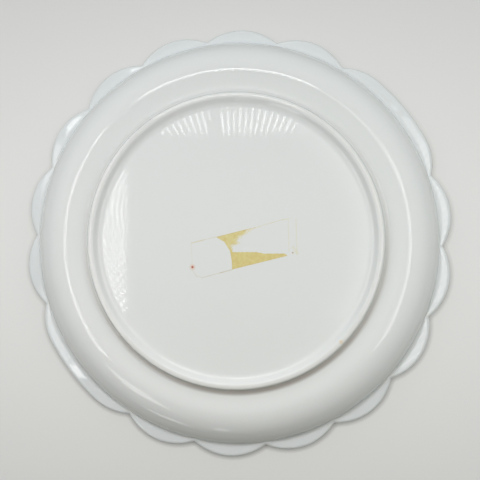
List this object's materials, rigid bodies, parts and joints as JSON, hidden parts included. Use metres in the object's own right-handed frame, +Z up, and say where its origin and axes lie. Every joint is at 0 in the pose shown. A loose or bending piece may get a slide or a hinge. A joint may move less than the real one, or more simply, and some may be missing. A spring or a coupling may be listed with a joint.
{
  "type": "deviled egg tray",
  "caption": "Round pressed milk-glass egg tray with egg-shaped wells around a sunken centre dish, a scalloped rim with two wide grips, and a foot ring.",
  "frame": {"origin": "centre of the foot ring, on the surface that the tray stands on", "axes": "+Z up out of the egg wells; +X through the middle of one wide grip scallop"},
  "size_m": [0.248, 0.248, 0.022],
  "materials": {
    "milk_glass": "pressed and fire-polished opaque white glass, glossy",
    "aged_adhesive": "yellowed label adhesive, thin and dull"
  },
  "bodies": {
    "root": {"egg_tray": "milk_glass", "label_residue": "aged_adhesive"}
  },
  "joints": []
}
